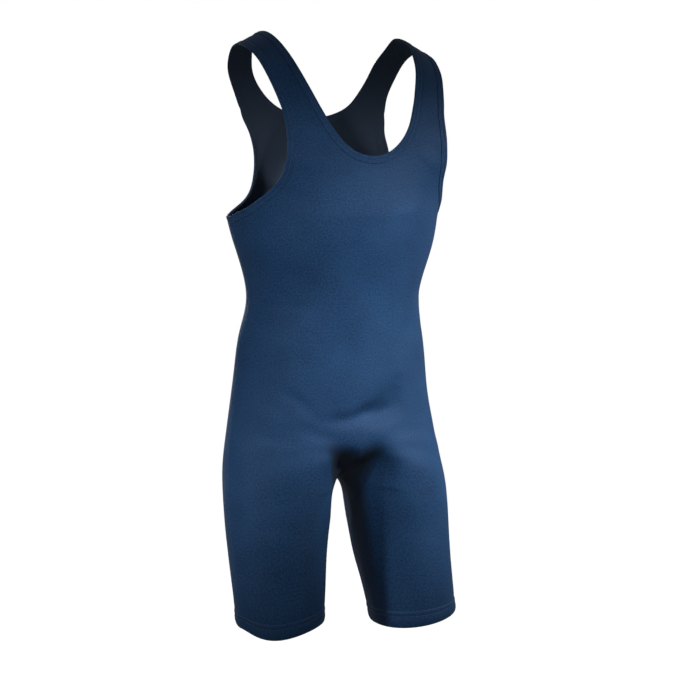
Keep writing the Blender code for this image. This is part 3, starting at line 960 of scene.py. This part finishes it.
def thread_mesh():
    """An empty mesh whose points know where they lie along a row of stitches."""
    mesh = bmesh.new()
    mesh.verts.layers.float_vector.new("cloth")
    return mesh


def border_line(border, inset, mirror):
    """Along a binding, at an inset from its finished edge."""
    edge, seam = border.sample(np.linspace(0, 1, FINE + 1))
    where = edge + (seam - edge) * inset / BINDING_WIDTH
    return border.figure.at(*where.T) * (mirror, 1, 1)


def hem_line(inset, mirror):
    """Round the leg: the front from the inseam to the side, then the back to the inseam."""
    share = np.linspace(0, 1, FINE // 2 + 1)
    down = HEM_TOP + inset + 0 * share
    front, back = (laid(figure, down, share, mirror) for figure in (FRONT, BACK))
    return np.concatenate([front, back[-2::-1]])


def seam_line(figure, start, edge_share, mirror):
    """Down to the hem beside the side seam (edge_share 1) or the inseam (0), on one panel."""
    down = np.linspace(start, HEM_TOP, FINE)
    inset = SEAM_STITCH_INSET / figure.run(down, np.ones_like(down))
    share = edge_share + inset * (1 - 2 * edge_share)
    return laid(figure, down, share, mirror)


# Finishes

NAVY_LIGHT = (0.023, 0.080, 0.196, 1.0)
NAVY_DARK = (0.008, 0.031, 0.088, 1.0)
NAVY_INSIDE = (0.056, 0.082, 0.130, 1.0)
NAVY_SHEEN = (0.42, 0.62, 1.0, 1.0)
THREAD_LIGHT = (0.080, 0.170, 0.320, 1.0)
THREAD_DARK = (0.040, 0.090, 0.190, 1.0)
PAPER_LIGHT = (0.9, 0.9, 0.9, 1.0)
PAPER_DARK = (0.86, 0.86, 0.87, 1.0)
WHITE = (1.0, 1.0, 1.0, 1.0)
PANEL_SHEEN = 0.03
STRIP_SHEEN = 0.05
WALE = 0.72  # width of one column of knit loops
COURSE = 0.55  # height of one row of them
COURSE_BEND = 1.4  # how far the loops bend a row, in radians of it
KNIT_RELIEF = 0.12 * MM
GRAIN = (0.42, 3.0)  # patches of the fine mottling to a mm, and their detail
CLOUD = (0.018, 2.0)  # and those of the slow one
PAPER_GRAIN = (60.0, 2.0)  # the same for the paper, to a metre
TWIST = (9.0, 7.0, 5.0)  # turns of the thread's plies along, across and up, in radians a mm
TWIST_RELIEF = 0.08 * MM
FLOOR_FADE = (2.4, 0.5)  # metres from the middle at which it is gone and where it is whole

# Painted shade between the thighs: a near-black colour painted into the cloth on the front and
# the inner sides of the thighs, standing in for shadow there. Each pair is where it is gone and
# where it is full.
PAINTED_SHADE_NAVY = (0.014, 0.018, 0.026, 1.0)
SHADE_TOP = (642, 672)  # tape length
SHADE_BOTTOM = (880, 760)  # likewise, but it stays faint here
SHADE_BACK = (0.0, -45 * MM)  # y
SHADE_EDGE = (1.5, 0.3)  # square of the distance from its middle, in reaches
SHADE_REACH = 46.0
SHADE_ASIDE = 8.0  # how far its middle lies from the inseam on the right leg's side
SHADE_FULL = 0.9
SHADE_FAINT = 0.4


def by_node(name, turned=False):
    """A method that takes a value, and another number if need be, through a math node."""

    def made(*terms):
        return terms[0].finish.number(name, *(terms[::-1] if turned else terms))

    return made


class Value:
    """A number that varies over the surface, with plain arithmetic."""

    def __init__(self, finish, link):
        self.finish = finish
        self.link = link

    __add__ = __radd__ = by_node("ADD")
    __mul__ = __rmul__ = by_node("MULTIPLY")
    __sub__ = by_node("SUBTRACT")
    __rsub__ = by_node("SUBTRACT", turned=True)
    __truediv__ = by_node("DIVIDE")
    sine = by_node("SINE")
    cosine = by_node("COSINE")


class Finish:
    """The shader of a material or of the surrounding, being made node by node."""

    def __init__(self, owner, shader="Principled BSDF"):
        owner.use_nodes = True
        self.owner = owner
        self.nodes = owner.node_tree.nodes
        self.links = owner.node_tree.links
        self.shader = self.nodes[shader]

    def node(self, kind, settings=None, values=None):
        """One node: its settings are set first, then the values or links of its sockets."""
        made = self.nodes.new(kind)
        for name, setting in (settings or {}).items():
            setattr(made, name, setting)
        self.feed(made, values or {})
        return made

    def feed(self, node, values):
        for name, value in values.items():
            if isinstance(value, Value):
                value = value.link
            if isinstance(value, bpy.types.NodeSocket):
                self.links.new(value, node.inputs[name])
            else:
                node.inputs[name].default_value = value

    def shade(self, values):
        """Set the shader itself, and return what it belongs to."""
        self.feed(self.shader, values)
        return self.owner

    def number(self, operation, *terms):
        made = self.node("ShaderNodeMath", {"operation": operation}, dict(enumerate(terms)))
        return Value(self, made.outputs[0])

    def attribute(self, name):
        return self.node("ShaderNodeAttribute", {"attribute_name": name}).outputs["Vector"]

    def place(self):
        return self.node("ShaderNodeTexCoord").outputs["Object"]

    def parts(self, vector):
        made = self.node("ShaderNodeSeparateXYZ", values={"Vector": vector})
        return [Value(self, part) for part in made.outputs]

    def noise(self, where, scale, detail):
        values = {"Vector": where, "Scale": scale, "Detail": detail}
        return Value(self, self.node("ShaderNodeTexNoise", values=values).outputs["Fac"])

    def blend(self, share, one, other):
        """From one colour to the other as share goes from 0 to 1."""
        settings = {"data_type": "RGBA", "clamp_factor": True}
        return self.node("ShaderNodeMix", settings, {0: share, 6: one, 7: other}).outputs[2]

    def ramp(self, value, start, end):
        """A soft step from 0 at start to 1 at end."""
        settings = {"interpolation_type": "SMOOTHSTEP"}
        values = {"Value": value, "From Min": start, "From Max": end}
        made = self.node("ShaderNodeMapRange", settings, values)
        return Value(self, made.outputs["Result"])

    def bump(self, height, depth):
        values = {"Height": height, "Distance": depth, "Strength": 1.0}
        return self.node("ShaderNodeBump", values=values).outputs["Normal"]


def painted_thigh_shade(finish, across, down):
    """How strongly painted shade darkens the cloth between the thighs, standing in for shadow."""
    y = finish.parts(finish.place())[1]
    aside = (across + SHADE_ASIDE) / SHADE_REACH
    spread = finish.ramp(down, *SHADE_TOP) * finish.ramp(aside * aside, *SHADE_EDGE)
    upper = finish.ramp(down, *SHADE_BOTTOM) * (SHADE_FULL - SHADE_FAINT)
    return spread * finish.ramp(y, *SHADE_BACK) * (upper + SHADE_FAINT)


def knit_finish(name, sheen):
    """Satin stretch knit: fine columns of loops, slight mottling, a plainer inner side,
    and painted shade between the thighs.
    """
    finish = Finish(bpy.data.materials.new(name))
    where = finish.attribute("cloth")
    across, down, _ = finish.parts(where)
    inner = finish.parts(finish.attribute("inner_face"))[0]
    loops = (across * (math.tau / WALE)).cosine()
    rows = (down * (math.tau / COURSE) + loops * COURSE_BEND).sine()
    knit = loops * 0.3 + rows * 0.2 + 0.5
    grain = finish.noise(where, *GRAIN)
    cloud = finish.noise(where, *CLOUD)
    tone = 0.5 + (grain - 0.5) * 2.2 + (cloud - 0.5) * 0.6 + (knit - 0.5) * 0.25
    outside = finish.blend(tone, NAVY_DARK, NAVY_LIGHT)
    # painted shade between the thighs, darkening the outer colour where shadow would fall
    outside = finish.blend(painted_thigh_shade(finish, across, down), outside, PAINTED_SHADE_NAVY)
    return finish.shade(
        {
            "Base Color": finish.blend(inner, outside, NAVY_INSIDE),
            "Roughness": 0.6 + (grain - 0.5) * 0.16 + inner * 0.25,
            "Sheen Weight": sheen,
            "Sheen Roughness": 0.38,
            "Sheen Tint": NAVY_SHEEN,
            "Specular IOR Level": 0.14,
            "Normal": finish.bump(knit * 0.5 + grain * 1.2, KNIT_RELIEF),
        }
    )


def thread_finish():
    """Twisted sewing thread."""
    finish = Finish(bpy.data.materials.new("thread"))
    along, across, up = finish.parts(finish.attribute("cloth"))
    twist = (along * TWIST[0] + across * TWIST[1] + up * TWIST[2]).sine() * 0.5 + 0.5
    return finish.shade(
        {
            "Base Color": finish.blend(twist, THREAD_DARK, THREAD_LIGHT),
            "Roughness": 0.5 + twist * 0.15,
            "Sheen Weight": 0.2,
            "Normal": finish.bump(twist, TWIST_RELIEF),
        }
    )


def floor_finish():
    """Pale paper that thins out to nothing away from the garment."""
    finish = Finish(bpy.data.materials.new("floor"))
    where = finish.place()
    away = finish.node("ShaderNodeVectorMath", {"operation": "LENGTH"}, {0: where})
    grain = finish.noise(where, *PAPER_GRAIN)
    return finish.shade(
        {
            "Base Color": finish.blend(grain, PAPER_DARK, PAPER_LIGHT),
            "Roughness": 0.8,
            "Alpha": finish.ramp(away.outputs["Value"], *FLOOR_FADE),
            "Emission Color": WHITE,
            "Emission Strength": 0.95,
        }
    )


# Room

FLOOR_HEIGHT = -1.0
FLOOR_RADIUS = 2.6
VIEW_AZIMUTH = math.radians(27)
VIEW_DISTANCE = 2740.0
VIEW_HEIGHT = -315.0
VIEW_YAW = math.radians(0.11)
VIEW_PITCH = math.radians(2.68)
LENS = 100.4
SOFT_LIGHT = 0.12  # how brightly the white surrounding, which shows as 1, lights the cloth
SOFT_SHINE = 0.25  # and how bright it is in the cloth's shine

# Soft round lamps, each on what lies within reach of its target. "turn" and "rise" are the
# degrees from which it shines, towards +x from straight ahead and up.
Lamp = namedtuple("Lamp", "name turn rise target reach power colour")
LAMPS = many(
    Lamp,
    ("key", 45, 25, (0.12, -0.05, -0.415), 0.32, 196, (1.0, 0.99, 0.98)),
    ("fill", -44, 18, (-0.06, -0.05, -0.37), 0.34, 74, (0.96, 0.98, 1.0)),
    ("chest", 14, 12, (0.0, -0.10, -0.26), 0.18, 46, (1.0, 1.0, 1.0)),
    ("hips", -14, 58, (0.01, -0.06, -0.57), 0.16, 92, (0.98, 0.99, 1.0)),
    ("far_thigh", 34, 40, (0.19, -0.05, -0.72), 0.19, 150, (1.0, 0.99, 0.98)),
    ("near_thigh", -80, 30, (-0.20, -0.05, -0.64), 0.18, 96, (0.98, 0.99, 1.0)),
    ("back_right", -174, 14, (0.04, 0.0, -0.44), 0.55, 66, (0.93, 0.96, 1.0)),
    ("back_left", 156, 16, (-0.04, 0.0, -0.44), 0.55, 66, (0.93, 0.96, 1.0)),
)
LAMP_DISTANCE = 2.1
LAMP_RADIUS = 0.11


def add_camera():
    data = bpy.data.cameras.new("camera")
    data.lens = LENS
    camera = put("camera", data)
    away = Vector((-math.sin(VIEW_AZIMUTH), -math.cos(VIEW_AZIMUTH), 0)) * VIEW_DISTANCE
    camera.location = (away + Vector((0, 0, VIEW_HEIGHT)) - HELD_AT) * MM
    camera.rotation_euler = (math.pi / 2 - VIEW_PITCH, 0, -VIEW_AZIMUTH - VIEW_YAW)
    bpy.context.scene.camera = camera


def add_lamp(lamp):
    data = bpy.data.lights.new(lamp.name, "SPOT")
    data.energy = lamp.power
    data.color = lamp.colour
    data.shadow_soft_size = LAMP_RADIUS
    data.spot_size = 2 * math.atan(lamp.reach / LAMP_DISTANCE)
    data.spot_blend = 1.0
    light = put(lamp.name, data)
    turn, rise = math.radians(lamp.turn), math.radians(lamp.rise)
    away = Vector((math.sin(turn), -math.cos(turn), math.tan(rise))) * math.cos(rise)
    light.location = Vector(lamp.target) + away * LAMP_DISTANCE
    light.rotation_euler = math.pi / 2 - rise, 0, turn


def add_floor():
    mesh = bmesh.new()
    bmesh.ops.create_circle(mesh, cap_ends=True, segments=96, radius=FLOOR_RADIUS)
    floor = put_mesh("floor", mesh, floor_finish())
    floor.location = 0, 0, FLOOR_HEIGHT
    floor.visible_diffuse = floor.visible_glossy = False
    floor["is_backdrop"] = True


def add_surrounding():
    """White all round, that lights the cloth only softly."""
    finish = Finish(bpy.data.worlds.new("surrounding"), "Background")
    rays = finish.node("ShaderNodeLightPath").outputs
    values = {"Value": rays["Is Glossy Ray"], "To Min": SOFT_LIGHT, "To Max": SOFT_SHINE}
    shine = finish.node("ShaderNodeMapRange", values=values).outputs["Result"]
    bright = finish.number("MAXIMUM", shine, rays["Is Camera Ray"])
    bpy.context.scene.world = finish.shade({"Color": WHITE, "Strength": bright})


# Making the garment


def make_skin(borders):
    (front_neck, back_neck), (front_arm, back_arm) = borders
    skin = Skin()
    strip = [np.array(column) for column in zip(*BINDING_LINES)]
    hem = [np.array(column)[:, None] for column in zip(*HEM_LINES)]
    for figure, panel, neck, arm, corner in (
        (FRONT, "front_panel", front_neck, front_arm, FRONT_CORNER),
        (BACK, "back_panel", back_neck, back_arm, BACK_CORNER),
    ):
        grid = panel_grid(neck, arm, corner)
        dip = panel_dip(figure, grid, (neck.seam, arm.seam))
        skin.add(panel, figure, grid, 0.0, -dip, -dip - PANEL_WALL)
        skin.add("neck_binding", figure, strip_grid(neck, STRAP), *strip)
        grid = strip_grid(arm, armhole_shares(corner))
        for side in SIDES:
            skin.add(f"{side}_armhole_binding", figure, grid, *strip, turned=True)
            skin.add(f"{side}_leg_hem", figure, hem_grid(), *hem)
    skin.sew()
    return skin


def add_stitching(skin, borders):
    """One piece of stitching for each node, by the name of the node that it sews."""
    tree = skin.face_tree()
    thread = thread_finish()
    necks, arms = borders
    made = {}

    def sew_on(node, name, stitch, lines):
        mesh = thread_mesh()
        for line in lines:
            stitch_row(mesh, line, tree, stitch)
        made[node] = write_out(f"{name}_stitching", mesh, thread)

    def binding_lines(ends, mirrors):
        return [
            border_line(border, inset, mirror)
            for border in ends
            for mirror in mirrors
            for inset in BINDING_STITCH_INSETS
        ]

    sew_on("neck_binding", "neck", BINDING_STITCH, binding_lines(necks, SIDES.values()))
    for side, mirror in SIDES.items():
        lines = binding_lines(arms, [mirror])
        sew_on(f"{side}_armhole_binding", f"{side}_armhole", BINDING_STITCH, lines)
        lines = [hem_line(inset, mirror) for inset in HEM_STITCH_INSETS]
        sew_on(f"{side}_leg_hem", f"{side}_hem", HEM_STITCH, lines)
    for panel, arm in zip(("front_panel", "back_panel"), arms):
        underarm = arm.seam[-1, 0] + SEAM_STITCH_START
        lines = []
        for mirror in SIDES.values():
            lines.append(seam_line(arm.figure, underarm, 1, mirror))
            lines.append(seam_line(arm.figure, CROTCH, 0, mirror))
        sew_on(panel, f"{panel}_seam", SEAM_STITCH, lines)
    return made


# The cut of what shows of each piece, in metres and square metres, laid flat and unstretched
Cut = namedtuple("Cut", "width length area")


def main():
    bpy.context.scene.view_settings.view_transform = "Standard"
    add_camera()
    add_floor()
    add_surrounding()
    for lamp in LAMPS:
        add_lamp(lamp)
    borders = neck_borders(), armhole_borders()
    skin = make_skin(borders)
    panel_knit = knit_finish("panel_knit", PANEL_SHEEN)
    strip_knit = knit_finish("strip_knit", STRIP_SHEEN)
    stitching = add_stitching(skin, borders)
    for node in skin.pieces:
        knit = panel_knit if node.endswith("panel") else strip_knit
        piece = write_out(f"{node}_knit", skin.piece(node), knit, node)
    skin.mesh.free()
    boxes = {"cad": CAD_BOX, "visual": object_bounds()}
    {name: [list(corner) for corner in box] for name, box in boxes.items()}


main()
